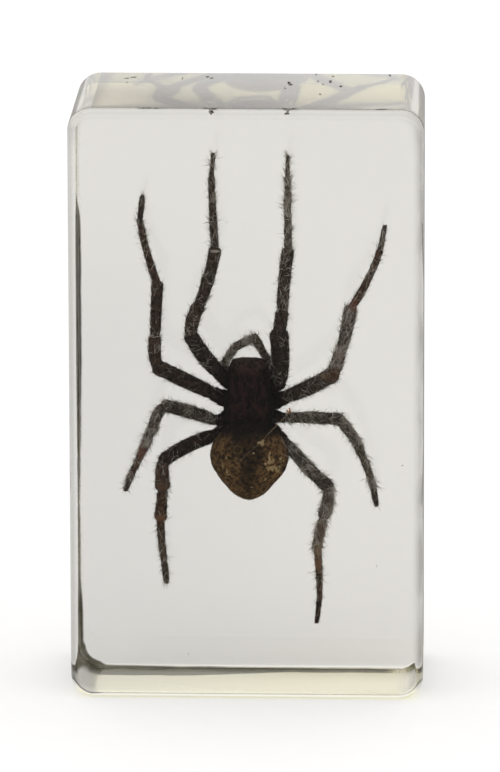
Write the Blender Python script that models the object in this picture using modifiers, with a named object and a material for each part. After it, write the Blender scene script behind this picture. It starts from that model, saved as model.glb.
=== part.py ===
"""Spider sealed in an upright block of clear resin.

The block stands on its bottom end. +X runs to the right, +Y runs away from the
viewer and +Z runs up, with the origin at the middle of the base. The spider
hangs head up at mid-depth, with its back towards the front face.
The clear block is parted in two at the spider's plane, and the two halves
hold a pocket that follows the spider with a small clearance.
"""

import bmesh
import bpy
from mathutils import Vector

MM = 0.001

# Driving dimensions of the block, in metres.
BLOCK_WIDTH = 0.0417
BLOCK_DEPTH = 0.0203
BLOCK_HEIGHT = 0.0715
CORNER_RADIUS = 0.0028
EDGE_RADIUS = 0.0010
SIDE_DRAW = 0.0003
PARTING_GAP = 0.0003

CORNER_SEGMENTS = 5
EDGE_SEGMENTS = 3
EDGE_ANGLE = 1.0
SHARP_ANGLE = 0.9

# The spider is given in millimetres, in the block's frame.
POCKET_CLEARANCE = 0.3
SPIDER_MIDDLE_X = 0.12
TUBE_BEVEL_RESOLUTION = 2
MIDDLE_SWELL = 1.06

# Places along a leg segment where a ring of the tube stands.
HIP_STEPS = (0.0, 0.6)
SEGMENT_STEPS = (0.08, 0.5, 0.92)
CLAW_STEPS = (0.12, 0.6, 0.93, 1.0)
CLAW_TIP_SHARE = 0.55

# Each leg, hip to claw. "joints" are the hip, the near end of the femur, the knee,
# the ends of the patella, tibia and metatarsus, and the claw. "radii" are the near
# and far radius of the coxa, femur, patella, tibia, metatarsus and tarsus. "bows"
# are how far the middle of each of these stands to the left of its chord.
LEGS = {
    "left_1": {
        "joints": ((-1.04, 1.6, 35.99), (-3.36, 0.1, 38.09), (-6.62, -3.9, 43.26), (-5.71, -3.3, 46.74),
                   (-3.80, -1.2, 53.31), (-4.27, 0.8, 61.78), (-4.07, 1.5, 64.46)),
        "radii": ((0.8, 0.8), (0.9, 0.85), (0.73, 0.8), (0.73, 0.74), (0.55, 0.42), (0.32, 0.27)),
        "bows": (0.0, 0.2, 0.25, -0.2, 0.05, 0.0),
    },
    "right_1": {
        "joints": ((1.35, 1.6, 35.58), (3.82, 0.2, 37.05), (3.74, -4.3, 43.59), (4.15, -3.9, 46.18),
                   (4.77, -1.4, 53.26), (4.69, 0.5, 61.52), (4.70, 1.2, 64.31)),
        "radii": ((0.8, 0.8), (0.85, 1.1), (0.72, 0.8), (0.73, 0.75), (0.55, 0.42), (0.32, 0.27)),
        "bows": (0.0, -0.1, 0.0, 0.1, 0.0, 0.0),
    },
    "left_2": {
        "joints": ((-1.44, 1.7, 34.20), (-4.05, 0.5, 35.50), (-10.59, -3.0, 39.30), (-10.88, -2.2, 42.70),
                   (-10.66, -0.1, 48.98), (-12.73, 1.7, 56.37), (-12.42, 2.2, 59.25)),
        "radii": ((0.8, 0.8), (0.8, 0.85), (0.7, 0.74), (0.61, 0.7), (0.5, 0.37), (0.35, 0.33)),
        "bows": (0.0, 0.0, 0.2, 0.0, 0.2, 0.0),
    },
    "right_2": {
        "joints": ((1.66, 1.7, 33.98), (4.33, 0.4, 35.15), (10.14, -4.1, 38.78), (10.93, -3.8, 41.17),
                   (12.16, -1.7, 46.35), (15.57, 0.5, 53.01), (16.08, 1.4, 55.90)),
        "radii": ((0.8, 0.8), (0.82, 0.87), (0.78, 0.7), (0.68, 0.76), (0.5, 0.4), (0.36, 0.31)),
        "bows": (0.0, -0.15, 0.0, -0.1, -0.25, 0.0),
    },
    "left_3": {
        "joints": ((-1.44, 1.8, 32.90), (-3.65, 0.9, 32.11), (-9.78, -2.4, 34.52), (-11.17, -1.7, 31.94),
                   (-12.44, -0.1, 28.77), (-13.92, 1.3, 25.29), (-14.61, 2.0, 23.40)),
        "radii": ((0.7, 0.65), (0.7, 0.72), (0.63, 0.6), (0.56, 0.57), (0.47, 0.4), (0.4, 0.34)),
        "bows": (0.0, -0.12, -0.2, 0.0, 0.0, 0.0),
    },
    "right_3": {
        "joints": ((1.76, 1.8, 32.88), (4.34, 0.8, 32.56), (10.87, -2.4, 33.01), (12.28, -1.9, 31.01),
                   (13.31, -0.7, 28.61), (14.75, 1.2, 24.12), (15.17, 2.0, 21.73)),
        "radii": ((0.7, 0.55), (0.59, 0.7), (0.66, 0.62), (0.58, 0.57), (0.46, 0.42), (0.4, 0.33)),
        "bows": (0.0, 0.12, 0.0, 0.1, 0.1, 0.0),
    },
    "left_4": {
        "joints": ((-1.24, 1.8, 31.80), (-3.84, 1.0, 30.42), (-9.98, -2.7, 27.84), (-10.07, -2.0, 24.46),
                   (-10.43, 0.7, 20.28), (-10.11, 2.1, 15.08), (-9.80, 2.9, 11.88)),
        "radii": ((0.75, 0.7), (0.8, 0.76), (0.68, 0.86), (0.55, 0.72), (0.49, 0.42), (0.41, 0.33)),
        "bows": (0.0, -0.33, -0.1, 0.0, -0.1, 0.0),
    },
    "right_4": {
        "joints": ((1.56, 1.8, 31.99), (4.15, 0.9, 29.97), (9.48, -2.8, 24.84), (8.91, -2.0, 21.15),
                   (8.15, 0.5, 16.97), (8.40, 2.4, 10.37), (8.01, 3.1, 7.08)),
        "radii": ((0.75, 0.6), (0.62, 0.8), (0.6, 0.73), (0.47, 0.67), (0.48, 0.34), (0.33, 0.29)),
        "bows": (0.0, -0.2, 0.25, 0.0, 0.06, 0.0),
    },
}

# The two feelers curve round in front of the head until their ends meet.
PALP_RADIUS = 0.4
PALPS = {
    "palp_left": ((-1.44, 1.6, 36.89), (-2.66, 0.3, 38.78), (-2.57, -0.3, 39.67), (-1.98, -0.9, 40.76),
                  (-1.19, -1.0, 41.65), (-0.19, -0.8, 42.15), (0.62, -0.4, 42.44)),
    "palp_right": ((1.85, 1.4, 36.87), (2.62, 0.2, 38.75), (2.42, -0.2, 39.75), (1.91, -0.8, 40.64),
                   (1.40, -1.2, 41.64), (1.01, -0.9, 42.34), (0.71, -0.5, 42.84)),
}

# Body sections: height, half width, back surface (towards the viewer), belly surface.
CARAPACE_SECTIONS = ((40.2, 0.9, -1.1, 0.2), (39.8, 1.9, -1.8, 0.9), (38.9, 2.3, -2.3, 1.3),
                     (37.5, 2.4, -2.6, 1.7), (36.2, 3.0, -2.6, 2.0), (34.6, 3.6, -2.4, 2.2),
                     (33.2, 3.5, -2.0, 2.2), (32.0, 3.0, -1.4, 2.0), (31.0, 2.0, -0.8, 1.6))
ABDOMEN_SECTIONS = ((32.6, 1.0, -2.3, -0.8), (31.9, 2.4, -3.0, 0.4), (31.0, 3.4, -3.5, 1.6),
                    (29.9, 4.2, -3.9, 2.3), (28.7, 4.6, -4.1, 2.7), (27.3, 4.5, -4.0, 2.8),
                    (26.0, 3.9, -3.6, 2.6), (24.8, 3.0, -2.9, 2.2), (23.7, 2.0, -2.0, 1.7),
                    (23.0, 1.0, -1.1, 1.1))
CARAPACE_POLES = (40.3, 30.6)
ABDOMEN_POLES = (32.8, 22.7)
BODY_SIDES = 20

# Short blunt parts: centre and half sizes.
CHELICERA_HALF = (0.75, 1.5, 0.8)
CHELICERA_SPREAD = 0.8
CHELICERA_CENTRE_Y = 1.3
CHELICERA_CENTRE_Z = 39.0
SPINNERETS_CENTRE = (0.2, 2.2, 24.2)
SPINNERETS_HALF = (0.75, 1.0, 0.85)
STERNUM_CENTRE = (0.15, 1.9, 34.7)
STERNUM_HALF = (2.2, 0.9, 2.6)
BLUNT_SIDES = 8
BLUNT_RINGS = 5

RESIN_COLOUR = (0.95, 0.94, 0.90, 1.0)
RESIN_IOR = 1.54
RESIN_ROUGHNESS = 0.03
SPIDER_COLOUR = (0.035, 0.022, 0.015, 1.0)
SPIDER_ROUGHNESS = 0.6


def clear_scene():
    for old in list(bpy.data.objects):
        bpy.data.objects.remove(old, do_unlink=True)


def new_collection(name):
    collection = bpy.data.collections.new(name)
    bpy.context.scene.collection.children.link(collection)
    return collection


def new_material(name, colour, roughness, transmission=0.0, ior=1.5):
    material = bpy.data.materials.new(name)
    material.use_nodes = True
    shader = material.node_tree.nodes["Principled BSDF"]
    shader.inputs["Base Color"].default_value = colour
    shader.inputs["Roughness"].default_value = roughness
    shader.inputs["Metallic"].default_value = 0.0
    shader.inputs["Transmission Weight"].default_value = transmission
    shader.inputs["IOR"].default_value = ior
    return material


def object_from_bmesh(name, bm, collection):
    """A new mesh object from a bmesh, which is freed."""
    mesh = bpy.data.meshes.new(name)
    bm.to_mesh(mesh)
    bm.free()
    mesh.shade_smooth()
    mesh.set_sharp_from_angle(angle=SHARP_ANGLE)
    obj = bpy.data.objects.new(name, mesh)
    collection.objects.link(obj)
    return obj


def mark_as_cutter(obj):
    obj.hide_render = True
    obj.display_type = "WIRE"


def add_boolean(obj, name, operation, other):
    """The manifold solver keeps the many crossing limb roots one closed body."""
    boolean = obj.modifiers.new(name, "BOOLEAN")
    boolean.operation = operation
    boolean.solver = "MANIFOLD"
    boolean.object = other


def mesh_from_curve(curve_object, collection):
    """The curve's evaluated tube as a mesh object with welded caps."""
    depsgraph = bpy.context.evaluated_depsgraph_get()
    mesh = bpy.data.meshes.new_from_object(curve_object.evaluated_get(depsgraph))
    bm = bmesh.new()
    bm.from_mesh(mesh)
    bmesh.ops.remove_doubles(bm, verts=bm.verts, dist=0.001 * MM)
    bmesh.ops.recalc_face_normals(bm, faces=bm.faces)
    bm.to_mesh(mesh)
    bm.free()
    mesh.shade_smooth()
    obj = bpy.data.objects.new(curve_object.name, mesh)
    obj.matrix_world = curve_object.matrix_world
    collection.objects.link(obj)
    bpy.data.objects.remove(curve_object, do_unlink=True)
    return obj


def tube(name, stations, collection):
    """A closed tube through (point, radius) stations given in millimetres."""
    curve = bpy.data.curves.new(name, "CURVE")
    curve.dimensions = "3D"
    curve.bevel_depth = MM
    curve.bevel_resolution = TUBE_BEVEL_RESOLUTION
    curve.use_fill_caps = True
    spline = curve.splines.new("POLY")
    spline.points.add(len(stations) - 1)
    for curve_point, (place, radius) in zip(spline.points, stations):
        curve_point.co = (*(place * MM), 1.0)
        curve_point.radius = radius
    curve_object = bpy.data.objects.new(name, curve)
    collection.objects.link(curve_object)
    bpy.context.view_layer.update()
    return mesh_from_curve(curve_object, collection)


def bowed_place(start, end, bow, share):
    """A point between two joints, pushed sideways in the picture plane by a parabola."""
    along = end - start
    sideways = Vector((-along.z, 0.0, along.x)).normalized()
    return start + along * share + sideways * (bow * 4.0 * share * (1.0 - share))


def leg_stations(leg, grow):
    """Ring places and radii from the hip to the claw."""
    joints = [Vector(joint) for joint in leg["joints"]]
    last = len(joints) - 2
    stations = []
    for index, (near, far) in enumerate(leg["radii"]):
        steps = HIP_STEPS if index == 0 else CLAW_STEPS if index == last else SEGMENT_STEPS
        for share in steps:
            place = bowed_place(joints[index], joints[index + 1], leg["bows"][index], share)
            radius = near + (far - near) * share
            if share == 0.5:
                radius *= MIDDLE_SWELL
            stations.append([place, radius + grow])
    stations[-1][1] = leg["radii"][-1][1] * CLAW_TIP_SHARE + grow
    outward = (joints[-1] - joints[-2]).normalized()
    stations[-1][0] += outward * grow
    return stations


def palp_stations(points, grow):
    places = [Vector(point) for point in points]
    stations = [[place, PALP_RADIUS + grow] for place in places]
    stations[-1][1] = PALP_RADIUS * CLAW_TIP_SHARE + grow
    outward = (places[-1] - places[-2]).normalized()
    stations[-1][0] += outward * grow
    return stations


def body_form(name, sections, poles, grow, collection):
    """A sphere whose rings take the widths and depths of the body's sections."""
    bm = bmesh.new()
    rings = len(sections) + 1
    bmesh.ops.create_uvsphere(bm, u_segments=BODY_SIDES, v_segments=rings, radius=1.0)
    heights = sorted({round(vert.co.z, 5) for vert in bm.verts}, reverse=True)
    for vert in bm.verts:
        ring = heights.index(round(vert.co.z, 5))
        if ring in (0, rings):
            shape_pole(vert, sections, poles, ring == 0, grow)
        else:
            shape_ring_vertex(vert, sections[ring - 1], grow)
    return object_from_bmesh(name, bm, collection)


def shape_pole(vert, sections, poles, is_front, grow):
    section = sections[0] if is_front else sections[-1]
    height = poles[0] + grow if is_front else poles[1] - grow
    middle_y = (section[2] + section[3]) / 2.0
    vert.co = Vector((SPIDER_MIDDLE_X, middle_y, height)) * MM


def shape_ring_vertex(vert, section, grow):
    height, half_width, back, belly = section
    direction = Vector((vert.co.x, vert.co.y)).normalized()
    half_depth = (belly - back) / 2.0 + grow
    x = SPIDER_MIDDLE_X + direction.x * (half_width + grow)
    y = (belly + back) / 2.0 + direction.y * half_depth
    vert.co = Vector((x, y, height)) * MM


def blunt_form(name, centre, half_sizes, grow, collection):
    """A small ellipsoid."""
    bm = bmesh.new()
    bmesh.ops.create_uvsphere(bm, u_segments=BLUNT_SIDES, v_segments=BLUNT_RINGS, radius=1.0)
    for vert in bm.verts:
        vert.co = Vector([(middle + (half + grow) * share) * MM
                          for middle, half, share in zip(centre, half_sizes, vert.co)])
    return object_from_bmesh(name, bm, collection)


def limb_forms(prefix, grow, collection):
    """The eight legs and two feelers as closed tubes."""
    forms = []
    for name, leg in LEGS.items():
        forms.append(tube(prefix + "leg_" + name, leg_stations(leg, grow), collection))
    for name, points in PALPS.items():
        forms.append(tube(prefix + name, palp_stations(points, grow), collection))
    return forms


def small_forms(prefix, grow, collection):
    """The jaws, breastplate and spinnerets."""
    forms = []
    for side, name in ((-1.0, "jaw_left"), (1.0, "jaw_right")):
        centre = (SPIDER_MIDDLE_X + side * CHELICERA_SPREAD, CHELICERA_CENTRE_Y, CHELICERA_CENTRE_Z)
        forms.append(blunt_form(prefix + name, centre, CHELICERA_HALF, grow, collection))
    forms.append(blunt_form(prefix + "sternum", STERNUM_CENTRE, STERNUM_HALF, grow, collection))
    forms.append(blunt_form(prefix + "spinnerets", SPINNERETS_CENTRE, SPINNERETS_HALF, grow, collection))
    return forms


def whole_spider(name, prefix, grow, home, cutters):
    """The carapace with every other form of the animal joined to it."""
    spider = body_form(name, CARAPACE_SECTIONS, CARAPACE_POLES, grow, home)
    joined = [body_form(prefix + "abdomen", ABDOMEN_SECTIONS, ABDOMEN_POLES, grow, cutters)]
    joined += small_forms(prefix, grow, cutters)
    joined += limb_forms(prefix, grow, cutters)
    for form in joined:
        mark_as_cutter(form)
        add_boolean(spider, "join " + form.name, "UNION", form)
    return spider


def add_box(name, size, centre, collection):
    bm = bmesh.new()
    bmesh.ops.create_cube(bm, size=1.0)
    for vert in bm.verts:
        vert.co = Vector([middle + side * share for middle, side, share in zip(centre, size, vert.co)])
    return object_from_bmesh(name, bm, collection)


def draw_in_sides(obj):
    """Each side face comes in a little from the front of the block to its back."""
    for vert in obj.data.vertices:
        if vert.co.y > 0.0:
            vert.co.x *= 1.0 - 2.0 * SIDE_DRAW / BLOCK_WIDTH


def weigh_long_corners(obj):
    """Gives the four edges that run from front to back their bevel weight."""
    bm = bmesh.new()
    bm.from_mesh(obj.data)
    layer = bm.edges.layers.float.new("bevel_weight_edge")
    for edge in bm.edges:
        along = edge.verts[0].co - edge.verts[1].co
        edge[layer] = 1.0 if abs(along.y) > BLOCK_DEPTH / 2.0 else 0.0
    bm.to_mesh(obj.data)
    bm.free()


def round_block(obj):
    """Large rounds on the long corners, then small rounds on the front and back rims."""
    weigh_long_corners(obj)
    corners = obj.modifiers.new("corner rounds", "BEVEL")
    corners.limit_method = "WEIGHT"
    corners.width = CORNER_RADIUS
    corners.segments = CORNER_SEGMENTS
    rims = obj.modifiers.new("rim rounds", "BEVEL")
    rims.limit_method = "ANGLE"
    rims.angle_limit = EDGE_ANGLE
    rims.width = EDGE_RADIUS
    rims.segments = EDGE_SEGMENTS


def resin_half(name, side, pocket, material, home, cutters):
    """One half of the block: side is -1 for the front and +1 for the back."""
    half = add_box(name, (BLOCK_WIDTH, BLOCK_DEPTH, BLOCK_HEIGHT), (0.0, 0.0, BLOCK_HEIGHT / 2.0), home)
    draw_in_sides(half)
    round_block(half)
    kept_centre = (0.0, side * (BLOCK_DEPTH + PARTING_GAP) / 2.0, BLOCK_HEIGHT / 2.0)
    kept = add_box(name + "_side", (2.0 * BLOCK_WIDTH, BLOCK_DEPTH, 2.0 * BLOCK_HEIGHT), kept_centre, cutters)
    mark_as_cutter(kept)
    add_boolean(half, "part at the spider's plane", "INTERSECT", kept)
    add_boolean(half, "pocket", "DIFFERENCE", pocket)
    half.data.materials.append(material)
    return half


def main():
    clear_scene()
    home = new_collection("spider_in_resin_block")
    cutters = new_collection("cutters")
    resin = new_material("clear resin", RESIN_COLOUR, RESIN_ROUGHNESS, 1.0, RESIN_IOR)
    chitin = new_material("spider", SPIDER_COLOUR, SPIDER_ROUGHNESS)

    spider = whole_spider("spider", "", 0.0, home, cutters)
    spider.data.materials.append(chitin)

    pocket = whole_spider("pocket", "pocket_", POCKET_CLEARANCE, cutters, cutters)
    mark_as_cutter(pocket)
    resin_half("resin_front", -1.0, pocket, resin, home, cutters)
    resin_half("resin_back", 1.0, pocket, resin, home, cutters)


main()
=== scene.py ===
"""The looks of a spider sealed in an upright block of clear resin.

+X runs to the right, +Y away from the viewer and +Z up. The spider hangs head up
at mid-depth with its back towards the viewer, so its dorsal side faces -Y.
Forms of the animal are worked out in millimetres and scaled once, in make_mesh.
"""

import math

import bmesh
import bpy
import numpy as np
from mathutils import Matrix, Vector, noise


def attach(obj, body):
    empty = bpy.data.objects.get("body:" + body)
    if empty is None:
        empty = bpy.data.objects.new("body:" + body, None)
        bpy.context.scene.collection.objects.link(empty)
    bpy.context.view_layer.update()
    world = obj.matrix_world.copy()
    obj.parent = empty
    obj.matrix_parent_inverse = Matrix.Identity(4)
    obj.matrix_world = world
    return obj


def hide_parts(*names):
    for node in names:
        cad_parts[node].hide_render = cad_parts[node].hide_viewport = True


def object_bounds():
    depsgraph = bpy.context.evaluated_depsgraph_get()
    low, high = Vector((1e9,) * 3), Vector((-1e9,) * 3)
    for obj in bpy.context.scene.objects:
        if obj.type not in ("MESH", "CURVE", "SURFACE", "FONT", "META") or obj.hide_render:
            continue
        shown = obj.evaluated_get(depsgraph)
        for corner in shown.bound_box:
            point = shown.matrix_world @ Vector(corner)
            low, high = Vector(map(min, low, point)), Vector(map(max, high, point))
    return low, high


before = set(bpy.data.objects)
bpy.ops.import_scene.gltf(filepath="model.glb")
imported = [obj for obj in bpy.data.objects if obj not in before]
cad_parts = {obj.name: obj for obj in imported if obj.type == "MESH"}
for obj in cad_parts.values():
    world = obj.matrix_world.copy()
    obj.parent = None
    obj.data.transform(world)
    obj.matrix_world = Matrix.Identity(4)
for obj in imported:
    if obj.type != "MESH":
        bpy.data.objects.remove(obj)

MM = 0.001
CAD_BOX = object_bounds()

# Photograph's frame.
IMAGE_WIDTH = 500
IMAGE_HEIGHT = 772

# Block, in metres.
BLOCK_WIDTH = CAD_BOX[1].x - CAD_BOX[0].x
BLOCK_DEPTH = CAD_BOX[1].y - CAD_BOX[0].y
BLOCK_HEIGHT = CAD_BOX[1].z - CAD_BOX[0].z
CORNER_RADIUS = 2.8 * MM
EDGE_RADIUS = 1.0 * MM
SIDE_DRAW = 0.3 * MM
# The resin's top lies this much below the CAD's, which leaves room for the dust on it.
SPECK_HEIGHT = 0.05 * MM
RESIN_IOR = 1.54
RIPPLE = 0.02 * MM
ABSORBED = (0.5, 0.47, 0.25, 1.0)
ABSORB_DENSITY = 6.5

# Camera: a long lens, a little above and to the right of the block's front.
CAMERA_ELEVATION = math.radians(14.623)
CAMERA_AZIMUTH = math.radians(2.167)
CAMERA_ROLL = math.radians(-0.142)
CAMERA_DISTANCE = 1.1167
FOCAL_PIXELS = 9523.15
SENSOR = 36.0
CLIP_START = 0.05
CLIP_END = 50.0
AIM_RIGHT = 0.477 * MM
AIM_UP = 2.519 * MM

# The spider's long axis stands at this X. The animal, its threads and the dust are
# measured in millimetres.
MIDDLE_X = 0.12
TOWARDS_VIEWER = np.array((0.0, -1.0, 0.0))

# Each leg: its hip, then a row for the coxa, femur, patella, tibia, metatarsus and
# tarsus. A row has the far joint, the near and far radius, the bow, which is how far
# the middle stands to the left of the chord, the warmth, which is how reddish the
# segment is, and the bloom, which is how much grey matting it carries. The radii are
# of the skin alone, since the coat of hairs lies over it.
LEGS = {
    "left_1": ((-1.04, 1.6, 35.99), (
        ((-3.36, 0.1, 38.09), 0.8, 0.8, 0.0, 0.1, 0.0),
        ((-6.62, -3.9, 43.26), 0.9, 0.86, 0.2, 0.1, 0.12),
        ((-5.71, -3.3, 46.74), 0.73, 0.78, 0.25, 0.3, 0.2),
        ((-3.8, -1.2, 53.31), 0.69, 0.7, -0.2, 0.2, 0.2),
        ((-4.27, 0.8, 61.78), 0.47, 0.35, 0.05, 0.3, 0.42),
        ((-4.07, 1.5, 64.46), 0.26, 0.23, 0.0, 0.1, 0.48),
    )),
    "right_1": ((1.35, 1.6, 35.58), (
        ((3.82, 0.2, 37.05), 0.8, 0.8, 0.0, 0.1, 0.0),
        ((3.74, -4.3, 43.59), 0.85, 1.1, -0.1, 0.1, 0.1),
        ((4.15, -3.9, 46.18), 0.7, 0.76, 0.0, 0.2, 0.2),
        ((4.77, -1.4, 53.26), 0.68, 0.69, 0.1, 0.2, 0.24),
        ((4.69, 0.5, 61.52), 0.44, 0.32, 0.0, 0.2, 1.0),
        ((4.7, 1.2, 64.31), 0.24, 0.21, 0.0, 0.1, 0.48),
    )),
    "left_2": ((-1.44, 1.7, 34.2), (
        ((-4.05, 0.5, 35.5), 0.8, 0.8, 0.0, 0.1, 0.0),
        ((-10.59, -3.0, 39.3), 0.83, 0.88, 0.0, 0.2, 0.1),
        ((-10.88, -2.2, 42.7), 0.7, 0.72, 0.2, 0.4, 0.16),
        ((-10.66, -0.1, 48.98), 0.59, 0.67, 0.0, 0.25, 0.15),
        ((-12.73, 1.7, 56.37), 0.47, 0.34, 0.2, 0.5, 0.28),
        ((-12.42, 2.2, 59.25), 0.32, 0.3, 0.0, 0.1, 0.24),
    )),
    "right_2": ((1.66, 1.7, 33.98), (
        ((4.33, 0.4, 35.15), 0.8, 0.8, 0.0, 0.1, 0.0),
        ((10.14, -4.1, 38.78), 0.83, 0.88, -0.15, 0.2, 0.2),
        ((10.93, -3.8, 41.17), 0.76, 0.68, 0.0, 0.7, 0.45),
        ((12.16, -1.7, 46.35), 0.64, 0.71, -0.1, 0.2, 0.62),
        ((15.57, 0.5, 53.01), 0.46, 0.36, -0.25, 0.7, 0.22),
        ((16.08, 1.4, 55.9), 0.32, 0.28, 0.0, 0.2, 0.42),
    )),
    "left_3": ((-1.44, 1.8, 32.9), (
        ((-3.65, 0.9, 32.11), 0.7, 0.65, 0.0, 0.1, 0.0),
        ((-9.78, -2.4, 34.52), 0.7, 0.72, -0.12, 0.15, 0.45),
        ((-11.17, -1.7, 31.94), 0.61, 0.57, -0.2, 0.35, 0.7),
        ((-12.44, -0.1, 28.77), 0.51, 0.51, 0.0, 0.2, 0.82),
        ((-13.92, 1.3, 25.29), 0.42, 0.36, 0.0, 0.9, 0.6),
        ((-14.61, 2.0, 23.4), 0.37, 0.31, 0.0, 0.1, 0.5),
    )),
    "right_3": ((1.76, 1.8, 32.88), (
        ((4.34, 0.8, 32.56), 0.7, 0.55, 0.0, 0.1, 0.1),
        ((10.87, -2.4, 33.01), 0.59, 0.7, 0.12, 0.2, 0.55),
        ((12.28, -1.9, 31.01), 0.63, 0.58, 0.0, 0.4, 0.6),
        ((13.31, -0.7, 28.61), 0.52, 0.51, 0.1, 0.3, 0.68),
        ((14.75, 1.2, 24.12), 0.42, 0.38, 0.1, 0.3, 1.0),
        ((15.17, 2.0, 21.73), 0.37, 0.3, 0.0, 0.2, 0.54),
    )),
    "left_4": ((-1.24, 1.8, 31.8), (
        ((-3.84, 1.0, 30.42), 0.75, 0.7, 0.0, 0.1, 0.0),
        ((-9.98, -2.7, 27.84), 0.83, 0.78, -0.33, 0.1, 0.05),
        ((-10.07, -2.0, 24.46), 0.68, 0.86, -0.1, 0.75, 0.18),
        ((-10.43, 0.7, 20.28), 0.55, 0.72, 0.0, 0.8, 0.18),
        ((-10.11, 2.1, 15.08), 0.45, 0.38, -0.1, 0.6, 0.34),
        ((-9.8, 2.9, 11.88), 0.39, 0.32, 0.0, 0.2, 0.28),
    )),
    "right_4": ((1.56, 1.8, 31.99), (
        ((4.15, 0.9, 29.97), 0.75, 0.6, 0.0, 0.1, 0.0),
        ((9.48, -2.8, 24.84), 0.6, 0.76, -0.2, 0.1, 0.6),
        ((8.91, -2.0, 21.15), 0.56, 0.68, 0.25, 0.3, 1.0),
        ((8.15, 0.5, 16.97), 0.41, 0.59, 0.0, 0.6, 1.0),
        ((8.4, 2.4, 10.37), 0.45, 0.31, 0.06, 0.7, 0.42),
        ((8.01, 3.1, 7.08), 0.31, 0.26, 0.0, 0.3, 0.12),
    )),
}

# Shape of each segment between its joints: (share of its length, share of its radius).
SEGMENT_PROFILES = (
    ((0.0, 1.0), (0.3, 1.2), (0.6, 1.28), (0.72, 1.2), (0.77, 1.02), (0.83, 1.12), (1.0, 1.05)),
    ((0.0, 0.66), (0.05, 0.84), (0.15, 1.0), (0.5, 1.05), (0.86, 1.0), (0.95, 1.06), (1.0, 0.98)),
    ((0.0, 0.78), (0.1, 0.95), (0.4, 1.03), (0.8, 1.02), (0.94, 1.06), (1.0, 0.96)),
    ((0.0, 0.72), (0.06, 0.9), (0.2, 1.0), (0.5, 1.02), (0.88, 1.0), (0.96, 1.07), (1.0, 0.98)),
    ((0.0, 0.76), (0.04, 0.92), (0.12, 1.02), (0.5, 1.02), (0.93, 1.0), (0.98, 1.1), (1.0, 1.0)),
    ((0.0, 0.82), (0.06, 0.97), (0.2, 1.0), (0.85, 1.02), (0.95, 0.9), (1.0, 0.7)),
)
LIMB_SIDES = 20
RINGS_PER_MM = 5.5
THREAD_RINGS_PER_MM = 8.0
CAP_ANGLES = (75.0, 50.0, 25.0)
CAP_DEPTH = 0.5

# The two feelers curve round in front of the head until their ends meet.
PALP_RADIUS = 0.45
PALPS = {
    "left": ((-1.44, 1.6, 36.89), (-2.66, 0.3, 38.78), (-2.57, -0.3, 39.67), (-1.98, -0.9, 40.76),
             (-1.19, -1.0, 41.65), (-0.19, -0.8, 42.15), (0.62, -0.4, 42.44)),
    "right": ((1.85, 1.4, 36.87), (2.62, 0.2, 38.75), (2.42, -0.2, 39.75), (1.91, -0.8, 40.64),
              (1.4, -1.2, 41.64), (1.01, -0.9, 42.34), (0.71, -0.5, 42.84)),
}

# Body sections: height, half width, back surface (towards the viewer), belly surface.
# The carapace leaves room beside it for the coxae.
CARAPACE_SECTIONS = ((39.95, 1.75, -1.0, 0.4), (39.6, 2.1, -1.7, 0.9), (38.9, 2.3, -2.3, 1.3),
                     (37.5, 2.35, -2.6, 1.7), (36.2, 2.55, -2.6, 2.0), (34.6, 2.95, -2.4, 2.1),
                     (33.2, 2.95, -2.0, 2.1), (32.0, 2.6, -1.4, 1.9), (31.0, 1.9, -0.8, 1.6))
ABDOMEN_SECTIONS = ((32.6, 1.0, -2.3, -0.8), (31.9, 2.4, -3.0, 0.4), (31.0, 3.4, -3.5, 1.6),
                    (29.9, 4.2, -3.9, 2.3), (28.7, 4.6, -4.1, 2.7), (27.3, 4.5, -4.0, 2.8),
                    (26.0, 3.9, -3.6, 2.6), (24.8, 3.0, -2.9, 2.2), (23.7, 2.0, -2.0, 1.7),
                    (23.0, 1.0, -1.1, 1.1))
CARAPACE_POLES = (40.1, 30.6)
ABDOMEN_POLES = (32.8, 22.7)
BODY_SIDES = 96
BODY_RINGS = 110


# ---------------------------------------------------------------- materials

def reckon(operation, swapped=False):
    """A method of Value that works out one operation in a Math node."""
    def method(self, *others):
        values = (*others, self) if swapped else (self, *others)
        made = self.graph.node("Math", operation=operation)
        for socket, value in zip(made.inputs, values):
            self.graph.feed(socket, value)
        return Value(self.graph, made.outputs[0])
    return method


class Value:
    """A number that nodes work out at each point. On masks * means both and | either."""

    def __init__(self, graph, socket):
        self.graph = graph
        self.socket = socket

    __add__ = reckon("ADD")
    __sub__ = reckon("SUBTRACT")
    __rsub__ = reckon("SUBTRACT", swapped=True)
    __mul__ = reckon("MULTIPLY")
    __or__ = reckon("MAXIMUM")
    __abs__ = reckon("ABSOLUTE")
    root = reckon("SQRT")
    scaled = reckon("MULTIPLY_ADD")

    def step(self, low, high):
        """Rises smoothly from 0 at low to 1 at high; falls if low is above high."""
        made = self.graph.node("MapRange", {"Value": self}, interpolation_type="SMOOTHSTEP")
        limits = (low, high, 0.0, 1.0) if low < high else (high, low, 1.0, 0.0)
        for name, limit in zip(("From Min", "From Max", "To Min", "To Max"), limits):
            made.inputs[name].default_value = limit
        return Value(self.graph, made.outputs["Result"])


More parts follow.
